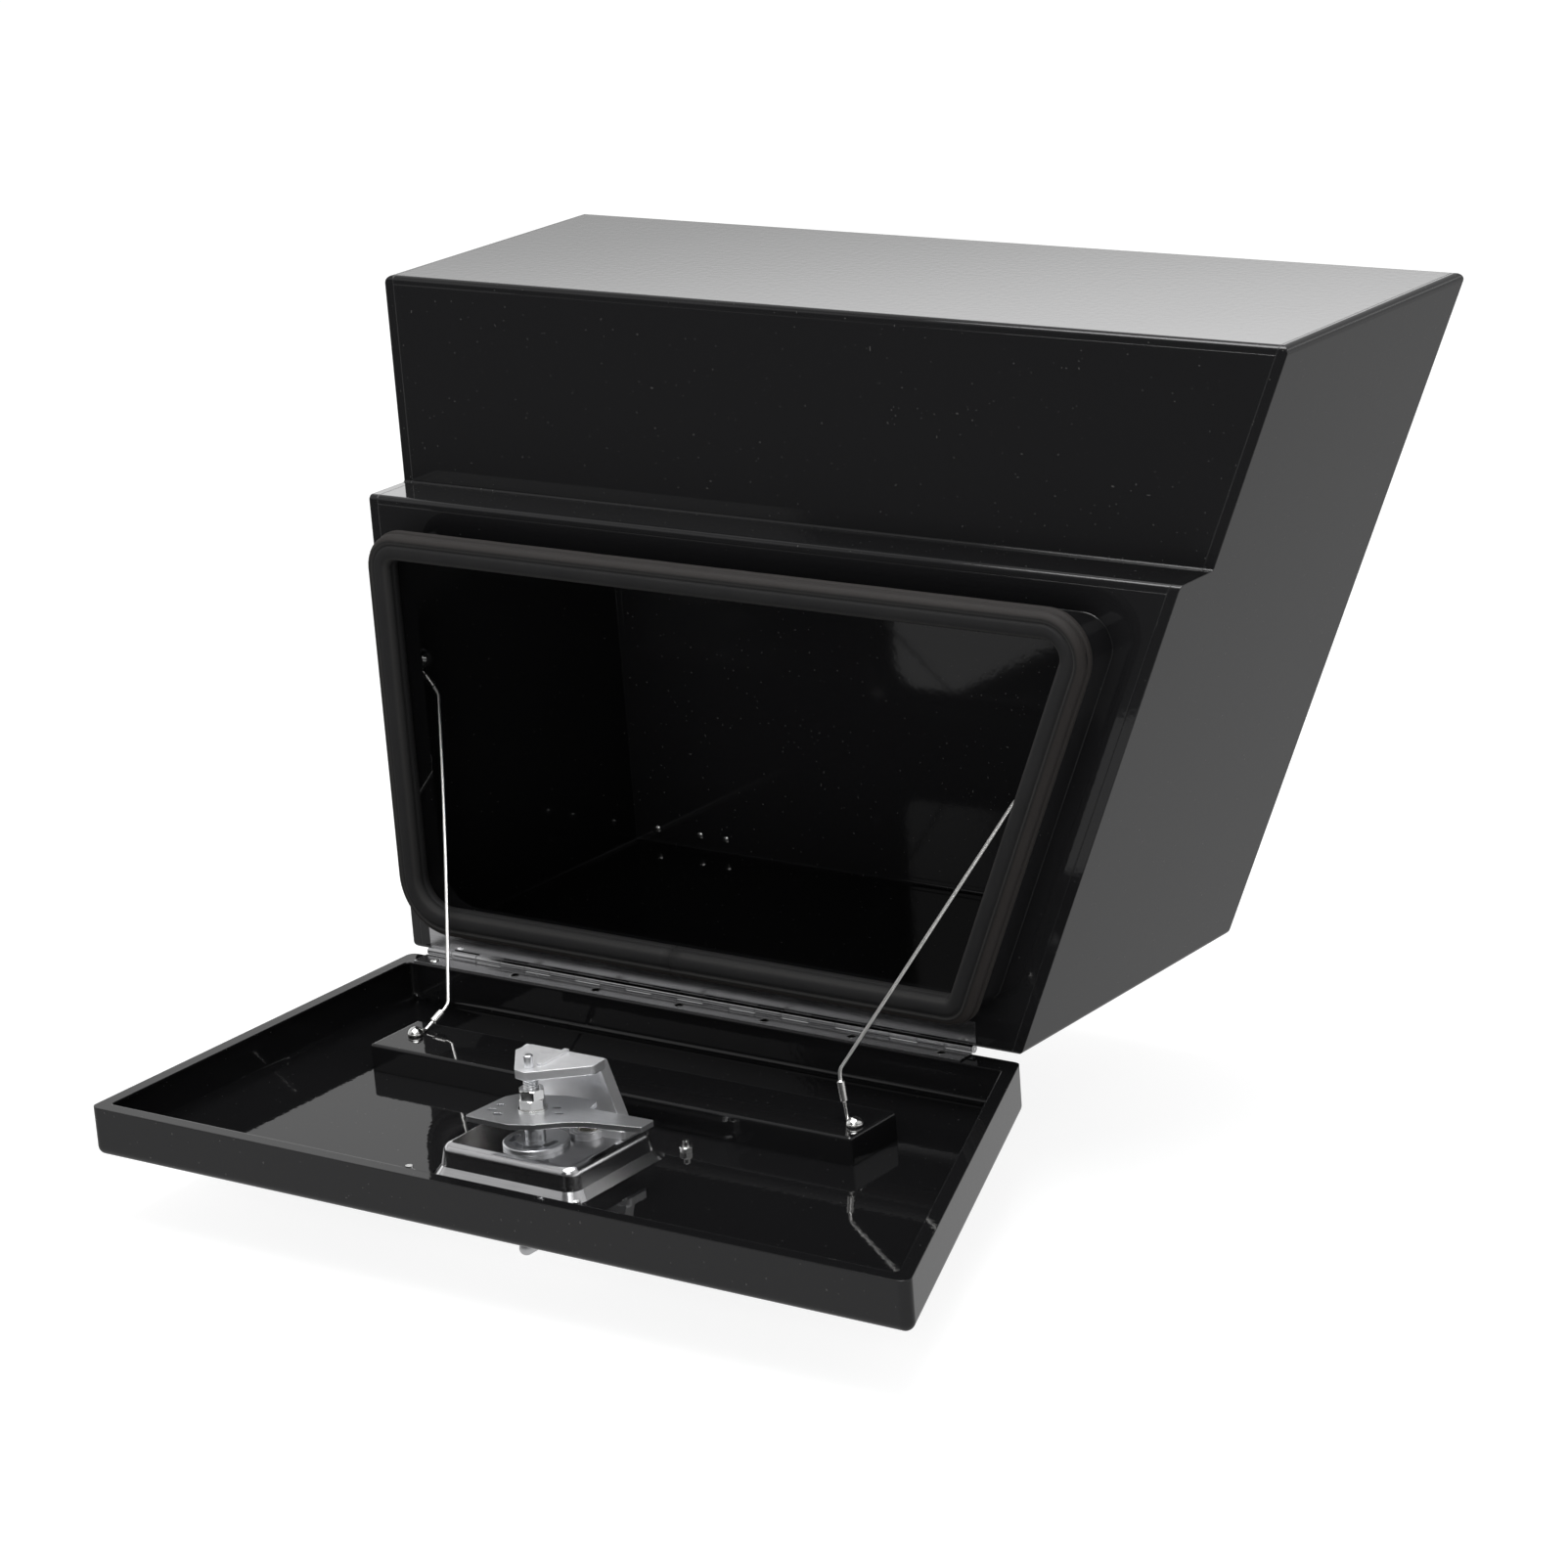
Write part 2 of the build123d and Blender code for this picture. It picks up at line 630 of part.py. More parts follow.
def steady_bracket():
    """The cast bracket that steadies the spindle's tip above the plate."""
    x0, y0 = SPINDLE_X, SPINDLE_Y
    top = extrude(
        Pos(x0, y0, BRACKET_TOP - BRACKET_THICK)
        * rounded_face(
            [(-23.5, 17.5, 2), (-5, -6.5, 3), (3, -8, 3), (31, 16, 3), (30, 28, 2), (-21.5, 28, 2)]
        ),
        BRACKET_THICK,
    )
    wall_side = rounded_face(
        [
            (22.5, BRACKET_TOP - 1, 1.0),
            (28.5, BRACKET_TOP, 1.5),
            (42.5, DISH_TOP + 4.5, 0.0),
            (42.5, DISH_TOP, 0.0),
            (35.5, DISH_TOP, 0.0),
            (35.5, DISH_TOP + 5, 2.0),
        ]
    )
    wall = extrude(Plane.YZ.offset(x0 - 30) * Pos(y0, 0, 0) * wall_side, 80)
    taper = Plane.XZ.offset(-(y0 + 60)) * make_face(
        Polyline(
            [
                (x0 - 24, BRACKET_TOP),
                (x0 + 30, BRACKET_TOP),
                (x0 + 31, DISH_TOP),
                (x0 - 38, DISH_TOP),
            ],
            close=True,
        )
    )
    wall = wall & extrude(taper, 120)
    edge = wall & block((x0 + 27, x0 + 40), (y0, y0 + 60), (DISH_TOP + 3, BRACKET_TOP - 3))
    foot_face = rounded_face(
        [
            (-38, 25, 3),
            (-38, 41, 1.5),
            (40, 41, 2),
            (40, 25, 2.5),
            (24, 23.5, 1.5),
            (8, 34, 1.5),
            (-20, 34, 3),
            (-24, 25, 3),
        ]
    )
    foot = extrude(Pos(x0, y0, DISH_TOP) * foot_face, FOOT_THICK)
    boss = upright(KEY_X, KEY_Y, (DISH_TOP, DISH_TOP + KEY_BOSS_HEIGHT), KEY_BARREL_R + 2.0)
    rib = block((x0 + 2.5, x0 + 5.5), (y0 + 3, y0 + 27.5), (BRACKET_TOP - 1, BRACKET_TOP + 1.6))
    bracket = top + wall + Pos(0, -1.2, 0) * edge + foot + boss + rib
    bracket = bracket - upright(x0, y0, (BRACKET_TOP - 20, BRACKET_TOP + 9), TIP_R + 0.08)
    return bracket - upright(KEY_X, KEY_Y, (DISH_TOP - 1, DISH_TOP + 9), KEY_BARREL_R)


def bracket_screws():
    """Two pan-head screws through the bracket's foot."""
    return [
        dome((SPINDLE_X + x, SPINDLE_Y + y, DISH_TOP + FOOT_THICK), (0, 0, 1), 3.0, 1.6)
        for x, y in ((-31.0, 30.0), (34.0, 30.0))
    ]


def key_housing():
    """The key cylinder's fixed barrel with its rim in the recess."""
    ceiling = DISH_TOP - DISH_SHEET
    rim = upright(KEY_X, KEY_Y, (ceiling - 1.2, ceiling), KEY_BARREL_R + 1.5)
    housing = rim + upright(KEY_X, KEY_Y, (ceiling - 1.2, KEY_TOP - 0.2), KEY_BARREL_R)
    return housing - upright(
        KEY_X, KEY_Y, (ceiling - 3, DISH_TOP + 12), KEY_PLUG_R + RUNNING_GAP
    )


def key_plug():
    """The turning plug with its key slot below and its tail above."""
    low = DISH_TOP - DISH_SHEET - 1.4
    plug = upright(KEY_X, KEY_Y, (low, KEY_TOP), KEY_PLUG_R)
    plug = plug - Pos(KEY_X, KEY_Y, low) * Box(1.4, 6.5, 10)
    tail = Pos(KEY_X + 1.2, KEY_Y, KEY_TOP + 0.5) * Box(11, 5, 1.2)
    tail = fillet(tail.edges().filter_by(Axis.Z), 2.0)
    return plug + tail


# ---- Wire stays ------------------------------------------------------------
def bend_radii(name, points, limits):
    """Each corner's arc, as large as its two runs allow, within its limit."""
    radii = []
    for before, corner, after, limit in zip(points, points[1:], points[2:], limits):
        turn = math.radians((corner - before).get_angle(after - corner))
        run = min((corner - before).length, (after - corner).length)
        radii.append(min(0.45 * run / math.tan(turn / 2), limit))
    print(name, "bend radii", [round(r, 1) for r in radii])
    return radii


def wire(name, points, limits):
    """A stay wire along straight runs joined by arcs."""
    path = FilletPolyline(*points, radius=bend_radii(name, points, limits))
    face = Plane(origin=points[0], z_dir=points[1] - points[0]) * Circle(WIRE_R)
    solid = sweep(face, path=path)
    share = solid.volume / (math.pi * WIRE_R**2 * path.length)
    print(name, "length", round(path.length, 1), "volume over section times length", round(share, 4))
    return solid


def eye(centre, normal, sleeve_end, sleeve_length):
    """A crimped wire eye: loop round its stud, neck and sleeve."""
    normal = Vector(*normal).normalized()
    away = sleeve_end - centre
    flat = (away - normal * away.dot(normal)).normalized()
    ring = Plane(origin=centre, z_dir=normal).location * Torus(EYE_R, WIRE_R)
    rim = centre + flat * EYE_R
    knee = centre + flat * EYE_KNEE
    axis = (sleeve_end - knee).normalized()
    sleeve_start = sleeve_end - axis * sleeve_length
    neck = cylinder_from(rim, flat, WIRE_R, (knee - rim).length)
    neck = neck + cylinder_from(knee, axis, WIRE_R, (sleeve_start - knee).length + 1)
    neck = neck + Pos(*knee) * Sphere(WIRE_R)
    sleeve = cylinder_from(sleeve_start, axis, SLEEVE_R, sleeve_length)
    sleeve = chamfer(sleeve.edges().filter_by(GeomType.CIRCLE), 0.7)
    body = ring + neck + sleeve
    return body - cylinder_from(centre - normal * 6, normal, STUD_R, 12)


def wall_hardware():
    """Studs, washers and nuts that hold the upper eyes to the side walls."""
    places = ((LEFT_STUD, Vector(1, 0, 0)), (RIGHT_STUD, WALL_SLOPE_OUT * -1))
    studs, washers, nuts = [], [], []
    loop = 2 * WIRE_R + 0.2
    for place, inwards in places:
        studs.append(cylinder_from(place, inwards, STUD_R, loop + 1 + 4 + 1.5))
        washers.append(washer(place + inwards * loop, inwards, 6.0, STUD_R, 1.0))
        nuts.append(hex_nut(place + inwards * (loop + 1), inwards, 8.0, 4.0, STUD_R))
    return studs, washers, nuts


def door_hardware():
    """Button-head bolts through the stiffener and the nuts under it."""
    bolts, nuts = [], []
    loop = 2 * WIRE_R + 0.2
    under = STIFFENER_TOP - SHEET
    for place in (LEFT_DOOR_BOLT, RIGHT_DOOR_BOLT):
        shank = upright(place.X, place.Y, (under - 6, STIFFENER_TOP + loop), STUD_R)
        bolts.append(shank + dome((place.X, place.Y, STIFFENER_TOP + loop), (0, 0, 1), 4.6, 2.8))
        nuts.append(hex_nut((place.X, place.Y, under), (0, 0, -1), 8.0, 4.0, STUD_R))
    return bolts, nuts


def main():
    os.makedirs("parts", exist_ok=True)
    lift = WIRE_R + 0.1
    studs, washers, stud_nuts = wall_hardware()
    bolts, bolt_nuts = door_hardware()
    inwards = WALL_SLOPE_OUT * -1
    parts = {
        **body_panels(),
        "door_seal": door_seal(),
        "body_rivets": body_rivets(),
        "hinge_leaf_box": hinge_leaf_box(),
        "hinge_pin": hinge_pin(),
        "hinge_leaf_door": hinge_leaf_door(),
        "hinge_rivets": hinge_rivets(),
        "door_pan": door_pan(),
        "door_stiffener": door_stiffener(),
        "lock_dish": lock_dish(),
        "lock_screws": lock_screws(),
        "lock_nuts": lock_nuts(),
        "bearing_disc": bearing_disc(),
        "latch_spindle": latch_spindle(),
        "cam_plate": cam_plate(),
        "cam_washer": cam_washer(),
        "cam_nuts": cam_nuts(),
        "fold_pin": fold_pin(),
        "t_handle": t_handle(),
        "steady_bracket": steady_bracket(),
        "bracket_screws": bracket_screws(),
        "key_housing": key_housing(),
        "key_plug": key_plug(),
        "stay_studs": studs,
        "stay_stud_washers": washers,
        "stay_stud_nuts": stud_nuts,
        "stay_bolts": bolts,
        "stay_bolt_nuts": bolt_nuts,
        "upper_eye_left": eye(LEFT_STUD + Vector(lift, 0, 0), (1, 0, 0), LEFT_WIRE[0], 9.0),
        "upper_eye_right": eye(RIGHT_STUD + inwards * lift, inwards, RIGHT_WIRE[0], 14.0),
        "lower_eye_left": eye(LEFT_DOOR_BOLT + Vector(0, 0, lift), (0, 0, 1), LEFT_WIRE[-1], 9.0),
        "lower_eye_right": eye(
            RIGHT_DOOR_BOLT + Vector(0, 0, lift), (0, 0, 1), RIGHT_WIRE[-1], 12.0
        ),
        "stay_wire_left": wire("stay_wire_left", LEFT_WIRE, [NO_LIMIT] * 4),
        "stay_wire_right": wire("stay_wire_right", RIGHT_WIRE, [EDGE_ARC, EDGE_ARC, NO_LIMIT]),
    }
    for name, shape in parts.items():
        if isinstance(shape, list):
            shape = Compound(children=shape)
        export_step(shape, f"parts/{name}.step")


main()
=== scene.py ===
"""Looks of an under-tray truck tool box: black powder coat, mouth seal, lock metal, wire stays.

Every length is in metres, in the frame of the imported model: the origin is the centre of the
top face, +Z is up, -Y is the door side and +X points towards the slanting end.
"""

from __future__ import annotations

import json
import logging
import math
from dataclasses import dataclass, field
from enum import Enum
from typing import Any, Iterable, Union

import bmesh
import bpy
from mathutils import Matrix, Vector, noise
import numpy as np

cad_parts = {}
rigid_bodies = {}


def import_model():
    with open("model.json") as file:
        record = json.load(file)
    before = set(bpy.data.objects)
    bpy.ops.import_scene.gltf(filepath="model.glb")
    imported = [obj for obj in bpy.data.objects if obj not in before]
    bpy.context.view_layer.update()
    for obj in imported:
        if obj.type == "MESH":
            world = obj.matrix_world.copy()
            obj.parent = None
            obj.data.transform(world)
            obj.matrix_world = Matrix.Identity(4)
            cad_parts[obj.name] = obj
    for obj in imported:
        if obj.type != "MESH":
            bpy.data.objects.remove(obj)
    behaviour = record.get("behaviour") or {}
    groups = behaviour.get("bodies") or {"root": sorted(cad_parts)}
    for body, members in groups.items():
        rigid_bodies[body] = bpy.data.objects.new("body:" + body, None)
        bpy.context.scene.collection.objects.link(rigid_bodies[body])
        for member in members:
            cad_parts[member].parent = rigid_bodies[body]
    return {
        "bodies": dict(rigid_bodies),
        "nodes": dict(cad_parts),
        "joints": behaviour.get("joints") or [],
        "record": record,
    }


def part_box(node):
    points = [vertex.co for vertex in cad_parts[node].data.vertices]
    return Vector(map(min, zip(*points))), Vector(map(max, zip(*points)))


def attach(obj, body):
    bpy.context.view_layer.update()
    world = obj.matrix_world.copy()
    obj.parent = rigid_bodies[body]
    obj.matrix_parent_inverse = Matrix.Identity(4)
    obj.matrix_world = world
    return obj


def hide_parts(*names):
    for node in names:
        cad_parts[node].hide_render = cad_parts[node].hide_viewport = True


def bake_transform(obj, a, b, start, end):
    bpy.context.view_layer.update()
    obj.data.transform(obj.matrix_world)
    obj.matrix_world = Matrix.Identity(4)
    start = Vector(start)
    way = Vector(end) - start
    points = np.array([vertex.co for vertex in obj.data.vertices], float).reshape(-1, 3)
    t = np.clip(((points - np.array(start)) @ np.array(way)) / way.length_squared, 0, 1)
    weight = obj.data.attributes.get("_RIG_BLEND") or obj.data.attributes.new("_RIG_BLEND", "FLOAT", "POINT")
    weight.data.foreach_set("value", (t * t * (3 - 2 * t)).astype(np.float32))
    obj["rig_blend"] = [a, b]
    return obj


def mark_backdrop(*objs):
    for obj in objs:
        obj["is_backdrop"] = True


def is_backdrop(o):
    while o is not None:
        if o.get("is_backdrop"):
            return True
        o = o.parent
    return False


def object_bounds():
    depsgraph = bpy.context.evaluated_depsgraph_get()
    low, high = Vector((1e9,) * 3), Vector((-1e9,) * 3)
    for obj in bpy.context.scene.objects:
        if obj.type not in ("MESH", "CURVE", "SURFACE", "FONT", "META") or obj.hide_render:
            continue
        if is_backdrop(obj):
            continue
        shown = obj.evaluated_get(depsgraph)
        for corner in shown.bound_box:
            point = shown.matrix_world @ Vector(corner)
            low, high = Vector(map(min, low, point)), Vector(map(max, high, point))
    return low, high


LOG = logging.getLogger("tool_box")
MM = 0.001
END_SLOPE = 0.4255  # the slanting end's run per unit of drop
END_SECANT = math.hypot(1.0, END_SLOPE)
MOUTH_END_MARGIN = 16.5 * MM  # from the slanting end to the seal, square to the end

Colour = tuple[float, float, float]
Operand = Union["Value", bpy.types.NodeSocket, float]


class Body(Enum):
    """The bodies that the new pieces ride on."""

    BOX = "root"
    DOOR = "door"
    LATCH = "latch"


class Slot(Enum):
    """The record's material slots."""

    POWDER_COAT = "powder_coat"
    SEAL_RUBBER = "seal_rubber"
    STAINLESS_SHEET = "stainless_sheet"
    BRIGHT_FIXINGS = "bright_fixings"
    ZINC_STEEL = "zinc_steel"
    ZINC_CASTING = "zinc_casting"
    BRASS_KEY = "brass_key"
    CRIMPED_STEEL = "crimped_steel"
    STAY_WIRE = "stay_wire"


# ---- Shader maths ----------------------------------------------------------


class Value:
    """A shader number: a socket whose arithmetic adds Math nodes."""

    def __init__(self, graph: "Graph", socket: bpy.types.NodeSocket) -> None:
        """Wraps a socket of a graph.

        Args:
            graph: The material's node tree.
            socket: The output socket that holds the number.
        """
        self.graph = graph
        self.socket = socket

    def _math(self, operation: str, first: Operand, second: Operand) -> "Value":
        """One Math node on two operands."""
        made = self.graph.node("ShaderNodeMath", {"operation": operation}, {0: first, 1: second})
        return Value(self.graph, made.outputs[0])

    def __add__(self, other: Operand) -> "Value":
        """Sum."""
        return self._math("ADD", self, other)

    __radd__ = __add__

    def __mul__(self, other: Operand) -> "Value":
        """Product."""
        return self._math("MULTIPLY", self, other)

    __rmul__ = __mul__

    def above(self, edge: float) -> "Value":
        """1 where the number is above the edge, else 0."""
        return self._math("GREATER_THAN", self, edge)


class Graph:
    """The node tree of one material."""

    def __init__(self, name: str) -> None:
        """Makes the material.

        Args:
            name: The material's name.
        """
        self.material = bpy.data.materials.new(name)
        self.material.use_nodes = True
        self.tree = self.material.node_tree
        self.shader = self.tree.nodes["Principled BSDF"]
        self.place = self.node("ShaderNodeTexCoord").outputs["Object"]

    def feed(self, socket: bpy.types.NodeSocket, value: Any) -> None:
        """Links or sets one input socket."""
        if isinstance(value, Value):
            value = value.socket
        if isinstance(value, bpy.types.NodeSocket):
            self.tree.links.new(value, socket)
        else:
            socket.default_value = value

    def node(
        self,
        kind: str,
        settings: dict[str, Any] | None = None,
        inputs: dict[Any, Any] | None = None,
    ) -> bpy.types.Node:
        """Adds one node.

        Args:
            kind: The node's type.
            settings: Its properties; "stops" are a ramp's (place, colour) pairs.
            inputs: Values or links of its input sockets, by name or number.

        Returns:
            The node.
        """
        made = self.tree.nodes.new(kind)
        for key, value in (settings or {}).items():
            if key == "stops":
                self.set_ramp(made.color_ramp, value)
            else:
                setattr(made, key, value)
        for key, value in (inputs or {}).items():
            self.feed(made.inputs[key], value)
        return made

    @staticmethod
    def set_ramp(ramp: bpy.types.ColorRamp, stops: Iterable[tuple[float, Colour]]) -> None:
        """Sets a ramp's stops from (place, colour) pairs."""
        for index, (place, colour) in enumerate(stops):
            stop = ramp.elements[index] if index < 2 else ramp.elements.new(place)
            stop.position = place
            stop.color = (*colour, 1.0)

    def stretched(self, scale: tuple[float, float, float]) -> bpy.types.NodeSocket:
        """Object coordinates, scaled along each axis."""
        made = self.node("ShaderNodeMapping", None, {"Vector": self.place, "Scale": scale})
        return made.outputs[0]

    def grain(
        self, per_metre: float, detail: float = 2.0, vector: bpy.types.NodeSocket | None = None
    ) -> Value:
        """Noise of so many cells to the metre, about 0.5 on average."""
        made = self.node(
            "ShaderNodeTexNoise",
            None,
            {"Vector": vector or self.place, "Scale": per_metre, "Detail": detail},
        )
        return Value(self, made.outputs[0])

    def attribute(self, name: str) -> Value:
        """A number stored on the mesh."""
        made = self.node("ShaderNodeAttribute", {"attribute_name": name})
        return Value(self, made.outputs["Fac"])

    def blend(self, share: Operand, first: Any, second: Any) -> bpy.types.NodeSocket:
        """Mixes two colours, the second by its share."""
        made = self.node("ShaderNodeMix", {"data_type": "RGBA"}, {"Factor": share})
        for socket, colour in ((made.inputs[6], first), (made.inputs[7], second)):
            self.feed(socket, (*colour, 1.0) if isinstance(colour, tuple) else colour)
        return made.outputs[2]

    def relief(
        self, height: Value, depth: float, under: bpy.types.NodeSocket | None = None
    ) -> bpy.types.NodeSocket:
        """A bump of the given depth in metres, over another normal if one is given."""
        inputs = {"Height": height, "Distance": depth}
        if under is not None:
            inputs["Normal"] = under
        return self.node("ShaderNodeBump", None, inputs).outputs[0]

    def rounded(self, radius: float) -> bpy.types.NodeSocket:
        """A normal that rounds sharp sheet edges by the radius."""
        return self.node("ShaderNodeBevel", {"samples": 4}, {"Radius": radius}).outputs[0]

    def dress(self, **inputs: Any) -> bpy.types.Material:
        """Sets the shader's sockets, named with _ for a space, and gives the material."""
        for key, value in inputs.items():
            if isinstance(value, tuple):
                value = (*value, 1.0)
            self.feed(self.shader.inputs[key.replace("_", " ")], value)
        return self.material


# ---- Finishes --------------------------------------------------------------


@dataclass(frozen=True)
class PowderCoat:
    """Gloss black powder coat with fine orange peel and a little dust."""

    name: str
    roughness: float
    ior: float = 1.46
    colour: Colour = (0.008, 0.008, 0.0085)
    dust: Colour = (0.05, 0.05, 0.048)
    peel_per_metre: float = 260.0
    peel_depth: float = 0.000012
    edge_radius: float = 0.0009
    dust_per_metre: float = 700.0
    dust_above: float = 0.862

    def build(self) -> bpy.types.Material:
        """Makes the material."""
        graph = Graph(self.name)
        peel = graph.grain(self.peel_per_metre, 1.0)
        haze = graph.grain(7.0, 3.0)
        specks = graph.grain(self.dust_per_metre, 0.0).above(self.dust_above)
        return graph.dress(
            Base_Color=graph.blend(specks, self.colour, self.dust),
            Roughness=haze * 0.03 + (self.roughness - 0.015) + specks * 0.3,
            IOR=self.ior,
            Normal=graph.relief(peel, self.peel_depth, graph.rounded(self.edge_radius)),
        )


@dataclass(frozen=True)
class SpongeRubber:
    """Dark grey sponge rubber in lengthwise bands: the groove band is darkened with painted shade, the ridge
    bands are lightened as painted highlights, and the outer and middle bands are the rubber's own greys.
    """

    name: str
    outer: Colour = (0.016, 0.0135, 0.0125)
    # Painted shade: the near-black colour laid in the groove between the lips.
    groove_shade: Colour = (0.003, 0.003, 0.003)
    middle: Colour = (0.0075, 0.0075, 0.008)
    # Painted highlight along the ridges; the scuffs below also mix towards this grey as real wear.
    ridge: Colour = (0.019, 0.0185, 0.018)
    band: str = "band"
    cells_per_metre: float = 1500.0
    cell_depth: float = 0.00012

    def build(self) -> bpy.types.Material:
        """Makes the material."""
        graph = Graph(self.name)
        bands = graph.node(
            "ShaderNodeValToRGB",
            {
                # The stop at 0.27 is painted shade in the groove; the stops at 0.32 and 0.86 are painted
                # highlights on the ridges.
                "stops": (
                    (0.0, self.outer),
                    (0.20, self.outer),
                    (0.27, self.groove_shade),
                    (0.32, self.ridge),
                    (0.40, self.middle),
                    (0.78, self.middle),
                    (0.86, self.ridge),
                    (1.0, self.middle),
                )
            },
            {"Fac": graph.attribute(self.band)},
        ).outputs[0]
        cells = graph.grain(self.cells_per_metre, 3.0)
        scuffs = graph.grain(55.0, 4.0)
        return graph.dress(
            Base_Color=graph.blend(scuffs * 0.35, bands, self.ridge),
            Roughness=cells * 0.2 + 0.65,
            Specular_IOR_Level=0.2,
            Normal=graph.relief(cells, self.cell_depth),
        )


@dataclass(frozen=True)
class BrushedMetal:
    """Bright metal with fine brushing along one axis."""

    name: str
    colour: Colour
    roughness: float
    spread: float = 0.12
    lines: tuple[float, float, float] = (30.0, 1400.0, 1400.0)
    line_depth: float = 0.0000015
    edge_radius: float = 0.0003

    def build(self) -> bpy.types.Material:
        """Makes the material."""
        graph = Graph(self.name)
        lines = graph.grain(1.0, 2.0, graph.stretched(self.lines))
        clouds = graph.grain(70.0, 3.0)
        darker = tuple(0.78 * part for part in self.colour)
        return graph.dress(
            Base_Color=graph.blend(lines * clouds * 1.6, self.colour, darker),
            Metallic=1.0,
            Roughness=lines * self.spread + (self.roughness - self.spread / 2),
            Normal=graph.relief(lines, self.line_depth, graph.rounded(self.edge_radius)),
        )


@dataclass(frozen=True)
class CastMetal:
    """Tumbled zinc die casting: satin grey with a fine pitted skin."""

    name: str
    colour: Colour = (0.86, 0.86, 0.87)
    shade: Colour = (0.68, 0.685, 0.70)
    roughness: float = 0.46
    pits_per_metre: float = 1100.0
    pit_depth: float = 0.00003
    edge_radius: float = 0.0006

    def build(self) -> bpy.types.Material:
        """Makes the material."""
        graph = Graph(self.name)
        pits = graph.grain(self.pits_per_metre, 4.0)
        clouds = graph.grain(60.0, 3.0)
        return graph.dress(
            Base_Color=graph.blend(clouds, self.colour, self.shade),
            Metallic=1.0,
            Roughness=pits * 0.25 + (self.roughness - 0.12),
            Normal=graph.relief(pits, self.pit_depth, graph.rounded(self.edge_radius)),
        )


@dataclass(frozen=True)
class PlatedMetal:
    """Bright plated fastener metal with faint handling marks."""

    name: str
    colour: Colour
    roughness: float
    marks_per_metre: float = 300.0
    mark_depth: float = 0.000002
    edge_radius: float = 0.00025

    def build(self) -> bpy.types.Material:
        """Makes the material."""
        graph = Graph(self.name)
        marks = graph.grain(self.marks_per_metre, 3.0)
        dull = tuple(0.7 * part for part in self.colour)
        return graph.dress(
            Base_Color=graph.blend(marks * 0.6, self.colour, dull),
            Metallic=1.0,
            Roughness=marks * 0.16 + (self.roughness - 0.08),
            Normal=graph.relief(marks, self.mark_depth, graph.rounded(self.edge_radius)),
        )


@dataclass
class Finishes:
    """Every material of the box, one for each slot and a few for single nodes."""

    by_slot: dict[Slot, bpy.types.Material] = field(default_factory=dict)
    by_node: dict[str, bpy.types.Material] = field(default_factory=dict)

    def build(self) -> None:
        """Makes the materials."""
        body = PowderCoat("powder_coat_body", 0.055).build()
        door = PowderCoat("powder_coat_door", 0.035, peel_depth=0.000016).build()
        self.by_slot = {
            Slot.POWDER_COAT: body,
            Slot.SEAL_RUBBER: SpongeRubber("sponge_rubber").build(),
            Slot.STAINLESS_SHEET: BrushedMetal(
                "brushed_stainless", (0.60, 0.60, 0.61), 0.19
            ).build(),
            Slot.BRIGHT_FIXINGS: PlatedMetal("plated_fixings", (0.80, 0.80, 0.79), 0.17).build(),
            Slot.ZINC_STEEL: BrushedMetal(
                "bright_zinc_plate", (0.80, 0.81, 0.83), 0.33, spread=0.10
            ).build(),
            Slot.ZINC_CASTING: CastMetal("tumbled_zinc_casting").build(),
            Slot.BRASS_KEY: PlatedMetal("nickelled_brass", (0.62, 0.59, 0.52), 0.22).build(),
            Slot.CRIMPED_STEEL: PlatedMetal("crimped_steel", (0.86, 0.85, 0.83), 0.26).build(),
            Slot.STAY_WIRE: PlatedMetal("wire_strand", (0.90, 0.89, 0.87), 0.32).build(),
        }
        self.by_node = {name: door for name in ("door_pan", "door_stiffener")}

    def dress_frame(self, frame: dict[str, Any]) -> int:
        """Gives each CAD node its material.


        Returns:
            How many nodes were dressed.
        """
        slots = {part["node"]: Slot(part["material_slot"]) for part in frame["record"]["subparts"]}
        for name, shape in frame["nodes"].items():
            material = self.by_node.get(name, self.by_slot[slots[name]])
            shape.data.materials.clear()
            shape.data.materials.append(material)
        return len(slots)


# ---- Mesh helpers ----------------------------------------------------------


def finished(
    name: str, shape: bmesh.types.BMesh, material: bpy.types.Material, smooth: bool = True
) -> bpy.types.Object:
    """Turns a bmesh into a linked object at the origin.

    Args:
        name: The piece's name.
        shape: The mesh in the row frame; it is freed.
        material: Its only material.
        smooth: Whether the faces are shaded smooth.

    Returns:
        The object.
    """
    bmesh.ops.recalc_face_normals(shape, faces=shape.faces)
    mesh = bpy.data.meshes.new(name)
    for face in shape.faces:
        face.smooth = smooth
    shape.to_mesh(mesh)
    shape.free()
    mesh.materials.append(material)
    made = bpy.data.objects.new(name, mesh)
    bpy.context.scene.collection.objects.link(made)
    return made


def mesh_of_curve(curve: bpy.types.Curve, name: str) -> bpy.types.Mesh:
    """The mesh that Blender makes of a curve, which is then removed."""
    holder = bpy.data.objects.new(name, curve)
    bpy.context.scene.collection.objects.link(holder)
    bpy.context.view_layer.update()
    mesh = bpy.data.meshes.new_from_object(holder)
    bpy.data.objects.remove(holder)
    bpy.data.curves.remove(curve)
    return mesh


# ---- Door seal -------------------------------------------------------------


